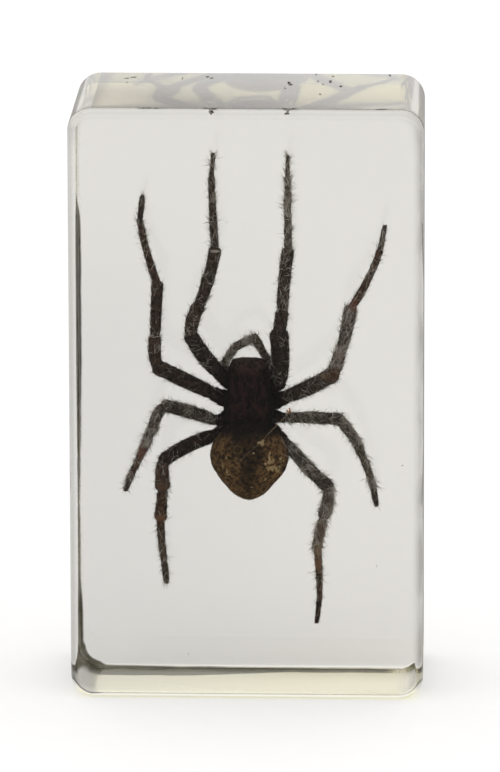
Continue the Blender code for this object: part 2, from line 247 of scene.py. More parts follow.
class Graph:
    """A node tree with short ways to add and join nodes."""

    def __init__(self, owner):
        owner.use_nodes = True
        self.tree = owner.node_tree

    def node(self, kind, inputs=None, **settings):
        made = self.tree.nodes.new("ShaderNode" + kind)
        for name, value in settings.items():
            setattr(made, name, value)
        for name, value in (inputs or {}).items():
            self.feed(made.inputs[name], value)
        return made

    def feed(self, socket, value):
        if isinstance(value, Value):
            value = value.socket
        if isinstance(value, bpy.types.NodeSocket):
            self.tree.links.new(value, socket)
        else:
            socket.default_value = value

    def mix(self, factor, first, second):
        made = self.node("Mix", {0: factor}, data_type="RGBA")
        sockets = [entry for entry in made.inputs if entry.type == "RGBA"]
        for socket, value in zip(sockets, (first, second)):
            self.feed(socket, (*value, 1.0) if isinstance(value, tuple) else value)
        return [entry for entry in made.outputs if entry.type == "RGBA"][0]

    def layers(self, colour, *layers):
        """Lays (mask, colour) pairs over a first colour."""
        for mask, laid in layers:
            colour = self.mix(mask, colour, laid)
        return colour

    def put(self, name, value):
        self.feed(self.tree.nodes["Principled BSDF"].inputs[name], value)

    def vectors(self, operation, *vectors):
        made = self.node("VectorMath", dict(enumerate(vectors)), operation=operation)
        return made.outputs

    def millimetres(self):
        """The point's own place in the object's frame, in millimetres."""
        place = self.node("TexCoord").outputs["Object"]
        return self.node("VectorMath", {0: place, "Scale": 1.0 / MM}, operation="SCALE").outputs[0]

    def axes(self, vector):
        return [Value(self, socket) for socket in self.node("SeparateXYZ", {0: vector}).outputs]

    def noise(self, vector, scale, detail=3.0, roughness=0.55, stretch=None):
        if stretch is not None:
            vector = self.node("Mapping", {"Vector": vector, "Scale": stretch}).outputs[0]
        made = self.node("TexNoise", {"Vector": vector, "Scale": scale, "Detail": detail,
                                      "Roughness": roughness})
        return Value(self, made.outputs["Fac"])

    def cells(self, vector, scale):
        made = self.node("TexVoronoi", {"Vector": vector, "Scale": scale})
        return Value(self, made.outputs["Distance"])

    def spot(self, vector, place, half_sizes, wobble=None):
        """1 inside an ellipsoid round a place, falling to 0 at its edge."""
        offset = self.vectors("SUBTRACT", vector, place)[0]
        scaled = self.vectors("DIVIDE", offset, half_sizes)[0]
        distance = Value(self, self.vectors("LENGTH", scaled)["Value"])
        if wobble is not None:
            distance = distance + wobble
        return distance.step(1.0, 0.6)

    def mark(self, name):
        return Value(self, self.node("Attribute", attribute_name=name).outputs["Fac"])

    def bump(self, height, strength, distance):
        made = self.node("Bump", {"Height": height, "Strength": strength, "Distance": distance})
        return made.outputs[0]


def new_material(name):
    material = bpy.data.materials.new(name)
    return material, Graph(material)


def dry_skin(graph, colour, roughness=0.8, relief=None, height=0.0):
    """Chitin under resin has almost no gloss of its own."""
    graph.put("Base Color", colour)
    graph.put("Roughness", roughness)
    graph.put("Specular IOR Level", 0.08)
    if relief is not None:
        graph.put("Normal", graph.bump(relief, 0.6, height))


def resin_material():
    material, graph = new_material("clear_resin")
    graph.put("IOR", RESIN_IOR)
    place = graph.millimetres()
    across, deep, high = graph.axes(place)
    half_depth = BLOCK_DEPTH / MM / 2.0
    rear_half = (BLOCK_WIDTH / 2.0 - SIDE_DRAW) / MM
    half_height = BLOCK_HEIGHT / MM / 2.0
    top = BLOCK_HEIGHT / MM
    corner = CORNER_RADIUS / MM
    wander = graph.noise(place, 0.22, 2.0).scaled(0.8, -0.4)

    def from_front(start, finish):
        return deep.step(start - half_depth, finish - half_depth)

    def below_top(start, finish):
        return high.step(top - start, top - finish)

    # Inset is how far inside the block's outline, seen from the front, a point lies.
    from_middle = abs(across)
    beyond = (from_middle - (rear_half - corner)) | 0.0
    from_centre = abs(high - half_height)
    past = (from_centre - (half_height - corner)) | 0.0
    square = beyond * beyond + past * past
    inset = corner - square.root()

    # Painted shade: the rear edges, seen through the block, are painted as dark olive lines of uneven
    # width, with less transmission.
    rear = deep.step(half_depth - 1.1, half_depth - 0.8)
    left_side = across.step(-16.0, -18.5) * high.step(59.5, 54.5)
    foot_width = across.step(8.0, -12.0) * 0.08 + across.step(-10.0, -18.0) * 0.1
    foot_width = foot_width + across.step(14.0, 18.0).scaled(-0.12, 0.22)
    narrow = high.step(40.0, 20.0) * high.step(7.0, 12.0)
    side_width = narrow.scaled(-0.25, 0.53)
    foot_line = high.step(3.0, 2.2) * foot_width * across.step(18.4, 16.6)
    width = (left_side * side_width) | foot_line
    left_corner = graph.spot(place, (-19.3, half_depth, 1.2), (2.2, 4.0, 2.4))
    width = width + left_corner * 0.25
    waver = wander * 0.3 * width.step(0.0, 0.2)
    excess = inset - (width + waver)
    dark = excess.step(0.12, -0.14) * rear * width.step(0.02, 0.12)
    # Painted shade also on the bottom face towards the rear.
    reach = across.step(6.0, -9.0).scaled(2.8, 2.4)
    reach = reach + wander * 1.2
    under = ((deep - half_depth + reach).step(-0.3, 0.3) * high.step(0.6, 0.3)
             * inset.step(0.3, 0.08) * across.step(19.0, 16.0))
    dark = dark | under

    # The top end has a slight milky share and a little roughness, and its colour is painted light and
    # shade in two bands: cream to grey near the viewer, darker grey behind.
    near_rim = inset.step(0.3, 0.08)
    end = near_rim * below_top(2.6, 1.6)
    far_band = (deep + wander).step(3.5, 3.9)
    painted_near_band = graph.mix(across.step(-17.0, -8.0), (0.98, 0.92, 0.83), (0.66, 0.625, 0.575))
    painted_top_bands = graph.mix(far_band, painted_near_band, (0.43, 0.425, 0.41))
    # The resin's grey tint; its fall towards the left and below the top is painted shade.
    body = graph.mix(across.step(-18.0, 16.0), (0.742, 0.736, 0.73), (0.792, 0.782, 0.768))
    body = graph.mix(high.step(40.0, 64.0), body, (0.8, 0.79, 0.774))
    # Painted light: a cream tint on the front face along the bottom.
    foot = from_front(1.0, 0.4) * high.step(3.9, 3.1) * from_middle.step(19.0, 17.2)
    # Painted shade: a grey tint on the front face under the top rim.
    front_rim_shade = from_front(1.3, 0.3) * inset.step(1.5, 0.3) * below_top(6.0, 2.0)

    # Painted shade: thin grey lines on the top's front lip, the top right corner and both long front
    # edges.
    lip_shade = from_front(2.6, 0.8) * below_top(0.35, 0.15) * from_front(0.3, 0.6)
    top_right_shade = (graph.spot(place, (rear_half - 0.4, -half_depth, top - 0.9), (4.2, 2.6, 3.4))
                 * inset.step(0.75, 0.3))
    streaks = graph.noise(place, 0.5, 2.0, stretch=(1.0, 1.0, 0.3)).step(0.35, 0.65)
    near_front = from_front(1.6, 1.0)
    right_rim_shade = across.step(19.4, 20.75) * near_front * streaks.scaled(0.4, 0.6)
    left_rim_shade = across.step(-19.9, -20.7) * near_front

    # Painted light: beside the top end the long corners carry a pale, half milky share.
    shoulder = (near_rim * from_middle.step(rear_half - 1.7, rear_half - 1.0)
                * below_top(7.0, 3.0) * from_front(1.2, 2.2))

    # The bottom end has a little roughness and a diffuse share painted cream, painted light; its long
    # corners are painted grey towards the rear, painted shade.
    sole = near_rim * high.step(1.6, 0.6)
    bottom_left_shade = across.step(-17.4, -18.6) * high.step(3.0, 2.0) * deep.step(-8.0, -3.0)
    bottom_right_shade = across.step(18.2, 19.5) * high.step(3.0, 2.0) * deep.step(-8.0, -4.0)
    grey = (bottom_left_shade | bottom_right_shade * 0.9) * near_rim
    # Colour of the painted shade on the rear edges: dark olive, paler in places, darkest along the
    # bottom.
    paler = (high.step(34.0, 28.0) * high.step(9.0, 13.0) | high.step(52.0, 57.0) * high.step(20.0, 21.0)
             | high.step(4.0, 2.5) * 0.9 | across.step(0.0, 17.0) * 0.8)
    strands = graph.noise(place, 1.1, 2.0, stretch=(0.2, 1.0, 2.5))
    paler = paler | strands.step(0.5, 0.6) * high.step(4.0, 3.0)
    shade_olive = graph.mix(paler, (0.032, 0.028, 0.018), (0.125, 0.112, 0.08))
    shade_olive = graph.mix(under * 0.8, shade_olive, (0.03, 0.027, 0.018))
    graph.put("Base Color", graph.layers(
        body, (foot, (0.87, 0.865, 0.76)), (end, painted_top_bands), (front_rim_shade * 0.8, (0.53, 0.525, 0.51)),
        (lip_shade * 0.7 | top_right_shade * 0.35, (0.4, 0.39, 0.375)),
        (right_rim_shade | left_rim_shade * 0.6, (0.2, 0.195, 0.18)), (shoulder, (0.84, 0.825, 0.79)),
        (sole, (1.0, 0.94, 0.48)), (grey, (0.16, 0.15, 0.12)), (dark, shade_olive)))

    end_cloud = far_band.scaled(0.14, 0.19)
    sole_cloud = across.step(-16.0, 6.0).scaled(0.16, 0.16)
    cloudy = end * end_cloud | sole * sole_cloud | grey * 0.7 | dark * 0.88 | shoulder * 0.5
    graph.put("Transmission Weight", 1.0 - cloudy)
    graph.put("Roughness", end * 0.07 | sole * 0.2)
    ripple = graph.noise(place, 0.12, 1.0)
    graph.put("Normal", graph.bump(ripple, 1.0, RIPPLE))

    absorb = graph.node("VolumeAbsorption")
    absorb.inputs["Color"].default_value = ABSORBED
    absorb.inputs["Density"].default_value = ABSORB_DENSITY
    output = graph.tree.nodes["Material Output"]
    graph.feed(output.inputs["Volume"], absorb.outputs[0])
    return material


def painted_trunk_shade(graph, place):
    """1 close round the carapace, where legs and their hairs are darkened as painted shade."""
    return graph.spot(place, (MIDDLE_X, 0.6, 34.6), (5.0, 6.0, 5.6))


# Places on the legs with a look of their own: place, half sizes and colour.
LEG_PATCHES = (
    ((9.9, -4.2, 38.6), (1.1, 1.3, 1.0), (0.115, 0.06, 0.032)),
    ((8.8, -4.4, 38.6), (0.5, 1.0, 0.4), (0.26, 0.19, 0.12)),
    ((10.9, -4.3, 41.3), (0.7, 1.2, 0.7), (0.3, 0.26, 0.23)),
    ((12.5, -2.2, 46.9), (0.7, 1.3, 1.0), (0.17, 0.075, 0.048)),
    ((-3.8, -1.6, 53.2), (0.7, 1.0, 0.22), (0.42, 0.38, 0.34)),
    ((-10.4, 0.3, 20.6), (0.8, 1.2, 1.0), (0.22, 0.12, 0.07)),
    ((-10.1, -2.6, 24.6), (0.8, 1.2, 0.9), (0.13, 0.075, 0.045)),
    ((8.3, 0.2, 16.6), (0.8, 1.4, 1.3), (0.34, 0.24, 0.15)),
    ((8.3, 0.9, 14.8), (0.7, 1.4, 1.2), (0.24, 0.14, 0.09)),
    ((8.7, -0.8, 19.3), (0.7, 1.4, 1.4), (0.2, 0.13, 0.1)),
    ((-12.5, -0.4, 28.4), (0.8, 1.2, 1.2), (0.2, 0.085, 0.062)),
)


def leg_material():
    material, graph = new_material("leg_chitin")
    place = graph.millimetres()
    mottle = graph.noise(place, 2.6, 4.0, 0.65)
    fibres = graph.noise(place, 9.0, 3.0, 0.7)
    warm = graph.mark("warm")
    bloom = graph.mark("bloom")
    dark = graph.mix(mottle.step(0.35, 0.7), (0.006, 0.0045, 0.004), (0.042, 0.03, 0.024))
    red = graph.mix(fibres.step(0.35, 0.7), (0.075, 0.033, 0.02), (0.24, 0.125, 0.075))
    grey = graph.mix(fibres.step(0.3, 0.7), (0.1, 0.088, 0.078), (0.62, 0.56, 0.5))
    patchy = mottle * 0.4 + fibres * 0.6
    wobble = fibres.scaled(1.6, -0.8)
    # The last layer is painted shade where the legs close round the carapace.
    colour = graph.layers(dark, (warm * mottle.step(0.3, 0.65), red),
                          (bloom * patchy.step(0.42, 0.6) * 0.45, grey),
                          *[(graph.spot(place, *spot, wobble) * 0.8, patch)
                            for *spot, patch in LEG_PATCHES],
                          (painted_trunk_shade(graph, place) * 0.75, (0.008, 0.0055, 0.005)))
    dry_skin(graph, colour, relief=fibres + mottle * 1.5, height=0.00006)
    return material


def carapace_material():
    material, graph = new_material("carapace_chitin")
    place = graph.millimetres()
    across, _, high = graph.axes(place)
    off_middle = abs(across - MIDDLE_X)
    mottle = graph.noise(place, 1.6, 4.0, 0.6)
    cracks = graph.noise(place, 1.5, 4.0, 0.6, stretch=(1.3, 1.0, 0.7))
    grain = graph.noise(place, 11.0, 3.0, 0.7)
    colour = graph.mix(cracks.step(0.36, 0.62), (0.0065, 0.0042, 0.004), (0.026, 0.0135, 0.0125))
    edge = off_middle + mottle.scaled(0.6, -0.3)
    red = cracks.step(0.46, 0.6) * edge.step(2.4, 1.4) * high.step(31.8, 33.2)
    middle_line = off_middle.step(0.28, 0.06) * high.step(35.8, 35.0)
    brow = high.step(38.7, 39.5) * cracks.step(0.35, 0.6)
    dust = grain.step(0.62, 0.74) * mottle.step(0.48, 0.66)
    colour = graph.layers(colour, (edge.step(2.0, 2.5) * 0.9, (0.0075, 0.005, 0.0045)),
                          (red * 0.8, (0.036, 0.015, 0.014)),
                          (middle_line * 0.8, (0.005, 0.0035, 0.0032)),
                          (brow * 0.75, (0.075, 0.05, 0.04)), (dust * 0.3, (0.085, 0.065, 0.06)))
    dry_skin(graph, colour, relief=grain + cracks, height=0.00006)
    return material


# Pale marks on the abdomen's back: place and half sizes.
ABDOMEN_MARKS = (
    ((1.62, -3.7, 30.31), (0.4, 0.9, 0.34)),
    ((2.72, -3.2, 27.8), (0.46, 0.9, 0.52)),
    ((3.1, -3.2, 27.15), (0.85, 0.9, 0.36)),
    ((3.65, -3.0, 26.75), (0.42, 0.9, 0.3)),
    ((2.62, -3.6, 28.86), (0.14, 0.9, 0.38)),
    ((3.96, -2.8, 28.2), (0.16, 1.2, 0.42)),
    ((4.25, -2.6, 27.8), (0.1, 1.2, 0.22)),
    ((-2.95, -3.0, 27.5), (0.08, 0.9, 0.44)),
    ((-2.5, -3.2, 28.55), (0.1, 0.9, 0.26)),
    ((-2.2, -3.2, 26.25), (0.38, 0.9, 0.09)),
    ((-2.45, -3.0, 26.6), (0.09, 0.9, 0.34)),
    ((0.39, -2.8, 24.72), (0.26, 0.9, 0.07)),
    ((2.05, -3.0, 25.55), (0.26, 0.9, 0.2)),
    ((0.75, -4.0, 29.05), (0.16, 0.9, 0.1)),
)
# A faint ring on the left of the abdomen's back, in millimetres.
ABDOMEN_RING = (-1.11, 0.0, 29.44)
RING_RADIUS = 0.46


def abdomen_material():
    material, graph = new_material("abdomen_skin")
    place = graph.millimetres()
    across, deep, high = graph.axes(place)
    off_middle = abs(across - MIDDLE_X)
    broad = graph.noise(place, 0.55, 3.0, 0.6)
    mottle = graph.noise(place, 2.2, 4.0, 0.65)
    grain = graph.noise(place, 9.0, 3.0, 0.7)
    speckle = graph.cells(place, 4.5)

    # A dark field down the back, narrow at the middle and wide at the shoulders.
    edge = off_middle - high.scaled(0.3, -6.9) + broad.scaled(3.0, -1.5)
    field = edge.step(1.1, -0.9) * 0.85
    amber = graph.mix(mottle.step(0.36, 0.64), (0.011, 0.006, 0.0032), (0.205, 0.115, 0.046))
    amber = graph.mix(grain.step(0.54, 0.7) * 0.6, amber, (0.36, 0.245, 0.13))
    brown = graph.mix(mottle.step(0.36, 0.66), (0.006, 0.0038, 0.0025), (0.027, 0.0165, 0.0085))
    # Painted shade: the abdomen's upper part, where it bulges towards the light, is darkened.
    shoulder_shade = (high + broad * 1.6).step(31.2, 32.3)
    rear = high.step(26.2, 24.4) * speckle.step(0.32, 0.12)

    ragged = graph.noise(place, 2.6, 1.0, 0.5)
    wobble = ragged.scaled(3.8, -1.95)
    marks = graph.spot(place, *ABDOMEN_MARKS[0], wobble)
    for mark in ABDOMEN_MARKS[1:]:
        marks = marks | graph.spot(place, *mark, wobble)
    flaked = grain.step(0.38, 0.6).scaled(0.5, 0.45)
    in_plane = graph.node("CombineXYZ", {"X": across, "Z": high}).outputs[0]
    to_ring = graph.vectors("DISTANCE", in_plane, ABDOMEN_RING)
    off_ring = abs(Value(graph, to_ring["Value"]) - RING_RADIUS)
    ring = off_ring.step(0.13, 0.03) * deep.step(0.0, -1.0) * 0.6

    belly = deep.step(0.6, 1.6)
    belly_dark = belly * off_middle.step(2.2, 1.4)
    pale_bars = (belly * off_middle.step(1.3, 1.6) * off_middle.step(2.3, 1.9) * high.step(25.0, 26.2)
                 * high.step(30.2, 29.2))
    colour = graph.layers(amber, (field, brown), (shoulder_shade * 0.95, (0.0075, 0.005, 0.004)),
                          (rear * 0.65, (0.15, 0.105, 0.055)), (marks * flaked, (0.52, 0.39, 0.21)),
                          (ring, (0.14, 0.095, 0.045)), (belly_dark * 0.8, (0.018, 0.013, 0.008)),
                          (pale_bars * mottle.step(0.3, 0.55), (0.25, 0.18, 0.07)))
    dry_skin(graph, colour, relief=grain + mottle * 1.5, height=0.00007)
    return material


def plain_material(name, first, second, scale):
    """Two colours mottled together, for silk and specks."""
    material, graph = new_material(name)
    mottle = graph.noise(graph.millimetres(), scale, 2.0)
    dry_skin(graph, graph.mix(mottle.step(0.35, 0.65), first, second), 0.7)
    return material


def hair_material(name, first, second, matted):
    """Two colours mottled together, a third for the hairs that are marked as pale, and painted shade
    close round the carapace.
    """
    material, graph = new_material(name)
    place = graph.millimetres()
    mottle = graph.noise(place, 2.0, 2.0)
    colour = graph.mix(mottle.step(0.35, 0.65), first, second)
    colour = graph.layers(colour, (graph.mark("bloom"), matted),
                          *[(graph.spot(place, *spot) * 0.6, patch) for *spot, patch in LEG_PATCHES],
                          (painted_trunk_shade(graph, place) * 0.75, (0.01, 0.0065, 0.0055)))
    dry_skin(graph, colour)
    return material


def eye_material():
    material, graph = new_material("eye_lens")
    rim = graph.noise(graph.millimetres(), 6.0, 1.0)
    dry_skin(graph, graph.mix(rim, (0.004, 0.003, 0.003), (0.03, 0.012, 0.008)), 0.3)
    return material


# ------------------------------------------------------------- shape making

def unit(vectors):
    return vectors / np.maximum(np.linalg.norm(vectors, axis=-1, keepdims=True), 1e-9)


def wobble_at(points, scale, seed):
    """Smooth noise from -1 to 1 at each of the points."""
    offset = Vector((seed * 7.3, seed * 3.1, seed * 5.7))
    flat = points.reshape(-1, 3)
    values = [noise.noise(Vector(point) * scale + offset) for point in flat]
    return np.array(values).reshape(points.shape[:-1])


def smooth_values(at, places, values):
    """Values on a smooth curve through (place, value) pairs, places rising."""
    places = np.asarray(places, float)
    values = np.asarray(values, float)
    slopes = np.gradient(values, places)
    spans = np.clip(np.searchsorted(places, at) - 1, 0, len(places) - 2)
    width = places[spans + 1] - places[spans]
    share = np.clip((at - places[spans]) / width, 0.0, 1.0)
    square = share * share
    cube = square * share
    return ((2 * cube - 3 * square + 1) * values[spans]
            + (cube - 2 * square + share) * width * slopes[spans]
            + (3 * square - 2 * cube) * values[spans + 1] + (cube - square) * width * slopes[spans + 1])


def smooth_path(points, count=0):
    """Places on a smooth curve through the points, and how far along it each one is."""
    points = np.array(points)
    steps = np.linalg.norm(np.diff(points, axis=0), axis=1)
    distance = np.concatenate(([0.0], np.cumsum(steps)))
    count = count or max(12, int(distance[-1] * THREAD_RINGS_PER_MM))
    at = np.linspace(0.0, distance[-1], count)
    places = [smooth_values(at, distance, points[:, axis]) for axis in range(3)]
    return np.stack(places, axis=1), at / distance[-1]


def around(sides):
    return np.linspace(0.0, 2.0 * math.pi, sides, endpoint=False)


def pole_to_pole(ring_count):
    return np.linspace(0.0, math.pi, ring_count + 2)[1:-1]


class Shells:
    """Closed lofted shells gathered for one mesh, with what hairs need to grow on them."""

    def __init__(self):
        self.points = []
        self.flows = []
        self.warm = []
        self.bloom = []
        self.faces = []
        self.slots = []
        self.quads = []
        self.count = 0

    def add(self, rings, flow, slot=0, warm=0.0, bloom=0.0):
        """Rings is (ring, side, 3). Flow is the way hairs lean, for all or for each ring."""
        ring_count, sides, _ = rings.shape
        points = np.concatenate((rings.reshape(-1, 3), rings[:1].mean(axis=1), rings[-1:].mean(axis=1)))
        flow = np.broadcast_to(np.asarray(flow, float), (ring_count, 3))
        here = self.count + np.arange(ring_count * sides).reshape(ring_count, sides)
        beside = np.roll(here, -1, axis=1)
        quads = np.stack((here[:-1], here[1:], beside[1:], beside[:-1]), axis=-1).reshape(-1, 4)
        self.faces += quads.tolist()
        pole = self.count + ring_count * sides
        ends = np.stack((here[0], beside[0], here[-1], beside[-1]), axis=1)
        for near, near_next, far, far_next in ends.tolist():
            self.faces += [(pole, near, near_next), (pole + 1, far_next, far)]
        self.slots += [slot] * (len(quads) + 2 * sides)
        self.quads.append(quads)
        self.points.append(points)
        self.flows.append(np.concatenate((np.repeat(flow, sides, axis=0), flow[:1], flow[-1:])))
        self.warm.append(np.full(len(points), warm))
        self.bloom.append(np.full(len(points), bloom))
        self.count += len(points)

    def scatter(self, count, chance, seed):
        """Random places on the shells: points, normals, flows and bloom."""
        points = np.concatenate(self.points)
        flows = np.concatenate(self.flows)
        quads = np.concatenate(self.quads)
        corners = points[quads]
        crossed = np.cross(corners[:, 2] - corners[:, 0], corners[:, 3] - corners[:, 1])
        area = np.linalg.norm(crossed, axis=1)
        bloom = np.concatenate(self.bloom)[quads].mean(axis=1)
        weight = area * chance(corners.mean(axis=1), bloom)
        rng = np.random.default_rng(seed)
        chosen = rng.choice(len(quads), size=count, p=weight / weight.sum())
        u, v = rng.random((2, count, 1))
        picked = corners[chosen]
        places = ((1 - u) * (1 - v) * picked[:, 0] + u * (1 - v) * picked[:, 1]
                  + u * v * picked[:, 2] + (1 - u) * v * picked[:, 3])
        return places, unit(crossed[chosen]), unit(flows[quads[chosen]].mean(axis=1)), bloom[chosen]


def add_object(name, mesh):
    obj = bpy.data.objects.new(name, mesh)
    bpy.context.scene.collection.objects.link(obj)
    return obj


def make_mesh(name, points, faces, materials, slots=None, marks=None):
    """A smooth mesh object from points in millimetres."""
    mesh = bpy.data.meshes.new(name)
    mesh.from_pydata((np.asarray(points) * MM).tolist(), [], faces)
    for material in materials:
        mesh.materials.append(material)
    if slots is not None:
        mesh.polygons.foreach_set("material_index", slots)
    for mark, values in (marks or {}).items():
        mesh.attributes.new(mark, "FLOAT", "POINT").data.foreach_set("value", values)
    mesh.shade_smooth()
    mesh.update()
    return add_object(name, mesh)


def shells_object(name, shells, materials):
    marks = {"warm": np.concatenate(shells.warm), "bloom": np.concatenate(shells.bloom)}
    return make_mesh(name, np.concatenate(shells.points), shells.faces, materials, shells.slots, marks)


def bowed_places(start, end, bow, shares):
    """Points between two joints, pushed sideways in the picture plane by a parabola."""
    along = end - start
    sideways = unit(np.array((-along[2], 0.0, along[0])))
    shares = np.asarray(shares)[:, None]
    return start + along * shares + sideways * (bow * 4.0 * shares * (1.0 - shares))


def tube_rings(places, radii, sides, flatten=0.94):
    """Rings round a path, flattened a little towards the viewer."""
    tangents = unit(np.gradient(places, axis=0))
    sideways = unit(np.cross(tangents, TOWARDS_VIEWER))
    upward = np.cross(sideways, tangents)
    angles = around(sides)
    spread = (sideways[:, None, :] * np.cos(angles)[None, :, None]
              + upward[:, None, :] * (flatten * np.sin(angles))[None, :, None])
    return places[:, None, :] + spread * np.asarray(radii)[:, None, None], tangents


def cap(end, inner, radius, angles):
    way = unit(end - inner)
    places = [end + way * radius * CAP_DEPTH * math.sin(math.radians(angle)) for angle in angles]
    return places, [radius * math.cos(math.radians(angle)) for angle in angles]


def capped(places, radii):
    """Rounds both ends of a path of rings with a few shrinking rings."""
    near, near_radii = cap(places[0], places[1], radii[0], CAP_ANGLES)
    far, far_radii = cap(places[-1], places[-2], radii[-1], CAP_ANGLES[::-1])
    return np.concatenate((near, places, far)), np.concatenate((near_radii, radii, far_radii))


def roughen(rings, *layers):
    """Pushes rings out and in by smooth noise, as dried and matted skin stands.

    A layer is how far it pushes, how fine it is, and its seed.
    """
    for amount, scale, seed in layers:
        outward = unit(rings - rings.mean(axis=1, keepdims=True))
        rings = rings + outward * (amount * wobble_at(rings, scale, seed))[..., None]
    return rings


def add_segment(shells, start, end, radii, bow, profile, warm, bloom, seed):
    length = float(np.linalg.norm(end - start))
    shares = np.linspace(0.0, 1.0, max(8, int(length * RINGS_PER_MM)))
    swell = np.interp(shares, *zip(*profile))
    thickness = (radii[0] + (radii[1] - radii[0]) * shares) * swell
    places, thickness = capped(bowed_places(start, end, bow, shares), thickness)
    rings, tangents = tube_rings(places, thickness, LIMB_SIDES)
    rings = roughen(rings, (0.05, 1.3, seed), (0.025, 4.0, seed + 1))
    shells.add(rings, tangents, 0, warm, bloom)


def add_claws(shells, tip, way, spread):
    """Two small hooks at the end of the foot."""
    sideways = unit(np.cross(way, TOWARDS_VIEWER))
    for side in (-1.0, 1.0):
        shares = np.linspace(0.0, 1.0, 6)[:, None]
        places = (tip + way * (0.22 * shares) + sideways * (side * spread * np.sqrt(shares + 0.02))
                  - TOWARDS_VIEWER * (0.16 * shares ** 2))
        rings, tangents = tube_rings(places, np.linspace(0.055, 0.012, 6), 6, 1.0)
        shells.add(rings, tangents)


def add_leg(shells, hip, segments, seed):
    start = np.array(hip)
    for index, (row, profile) in enumerate(zip(segments, SEGMENT_PROFILES)):
        joint, near_radius, far_radius, bow, warm, bloom = row
        end = np.array(joint)
        add_segment(shells, start, end, (near_radius, far_radius), bow, profile, warm, bloom,
                    seed + 10 * index)
        way = unit(end - start)
        start = end
    add_claws(shells, end - way * 0.1, way, 0.22)


def add_palp(shells, points, seed):
    """A feeler: one path, pinched at its joints, with a thicker last segment."""
    places, share = smooth_path(points, 60)
    pinches = sum(0.2 * np.exp(-((share - joint) / 0.018) ** 2) for joint in (0.36, 0.52, 0.7))
    swell = np.interp(share, (0.0, 0.3, 0.6, 0.85, 0.97, 1.0), (1.1, 1.02, 1.0, 1.12, 0.95, 0.65))
    places, radii = capped(places, PALP_RADIUS * swell * (1.0 - pinches))
    rings, tangents = tube_rings(places, radii, 16)
    shells.add(roughen(rings, (0.06, 3.0, seed)), tangents, 0, 0.35, 0.6)


def body_rings(sections, poles, ring_count, sides):
    """Elliptical rings down the body, closed to points at both poles."""
    heights, halves, backs, bellies = (np.array(column) for column in zip(*sections))
    top, bottom = poles
    middle = (backs + bellies) / 2.0
    knots = np.concatenate(([bottom], heights[::-1], [top]))
    turn = pole_to_pole(ring_count)
    at = bottom + (top - bottom) * (1.0 - np.cos(turn)) / 2.0

    def along_body(low, column, high):
        return smooth_values(at, knots, np.concatenate(([low], column[::-1], [high])))

    # The squares of the half sizes run to zero at the poles, which rounds both ends.
    half_width = np.sqrt(np.maximum(along_body(0.0, halves ** 2, 0.0), 1e-4))
    half_depth = np.sqrt(np.maximum(along_body(0.0, ((bellies - backs) / 2.0) ** 2, 0.0), 1e-4))
    centre = along_body(middle[-1], middle, middle[0])
    angles = around(sides)
    x = MIDDLE_X + half_width[:, None] * np.cos(angles)[None, :]
    y = centre[:, None] - half_depth[:, None] * np.sin(angles)[None, :]
    z = np.broadcast_to(at[:, None], x.shape)
    return np.stack((x, y, z), axis=-1)


def line_distance(x, z, start, end):
    """Distance in the picture plane from points to a straight line between two places."""
    start = np.array(start)
    along = np.array(end) - start
    share = np.clip(((x - start[0]) * along[0] + (z - start[1]) * along[1]) / (along @ along), 0.0, 1.0)
    return np.hypot(x - start[0] - along[0] * share, z - start[1] - along[1] * share)


def sink(rings, depth):
    """Moves points along Y into the body by a depth, from whichever side they are on."""
    middle = rings[..., 1].mean(axis=1, keepdims=True)
    facing = np.tanh((middle - rings[..., 1]) * 2.0)
    rings[..., 1] += depth * np.clip(facing, 0.0, 1.0)
    return rings


# Grooves of the carapace as (start, end, half width, depth), x from the middle line.
CARAPACE_GROOVES = (
    ((0.0, 34.3), (0.0, 35.6), 0.17, 0.34),
    ((0.3, 35.6), (1.5, 37.0), 0.2, 0.24), ((1.5, 37.0), (2.3, 38.6), 0.2, 0.2),
    ((0.4, 34.9), (3.0, 36.0), 0.16, 0.12), ((0.4, 34.6), (3.3, 34.6), 0.16, 0.12),
    ((0.3, 34.2), (2.9, 33.0), 0.16, 0.12), ((0.2, 33.9), (1.5, 31.8), 0.16, 0.1),
)
# Eyes: distance from the middle line, height, radius.
EYES = ((0.36, 39.8, 0.13), (0.34, 39.35, 0.14), (1.42, 39.5, 0.1), (1.62, 39.25, 0.1))


def add_carapace(shells):
    rings = body_rings(CARAPACE_SECTIONS, CARAPACE_POLES, BODY_RINGS, BODY_SIDES)
    offset = np.abs(rings[..., 0] - MIDDLE_X)
    high = rings[..., 2]
    depth = np.zeros(offset.shape)
    for start, end, half, deep in CARAPACE_GROOVES:
        depth += deep * np.exp(-(line_distance(offset, high, start, end) / half) ** 2)
    depth -= 0.22 * np.exp(-(offset / 0.7) ** 2 - ((high - 39.7) / 0.5) ** 2)
    depth -= 0.12 * np.exp(-((offset - 1.5) / 0.35) ** 2 - ((high - 39.5) / 0.4) ** 2)
    rings = sink(rings, depth)
    rings = roughen(rings, (0.07, 0.9, 40), (0.035, 3.5, 41))
    shells.add(rings, (0.0, 0.0, 1.0))
    for side in (-1.0, 1.0):
        for away, height, radius in EYES:
            add_eye(shells, rings, side * away, height, radius)


def surface_y(rings, x, z):
    """How far towards the viewer the surface stands at a place in the picture plane."""
    flat = rings.reshape(-1, 3)
    facing = flat[flat[:, 1] < rings[..., 1].mean()]
    near = np.hypot(facing[:, 0] - x, facing[:, 2] - z)
    return facing[np.argmin(near), 1]


def ball_rings(centre, half_sizes, ring_count, sides):
    turn = pole_to_pole(ring_count)
    angles = around(sides)
    x = np.sin(turn)[:, None] * np.cos(angles)[None, :]
    y = -np.sin(turn)[:, None] * np.sin(angles)[None, :]
    z = -np.broadcast_to(np.cos(turn)[:, None], x.shape)
    return np.array(centre) + np.stack((x, y, z), axis=-1) * np.array(half_sizes)


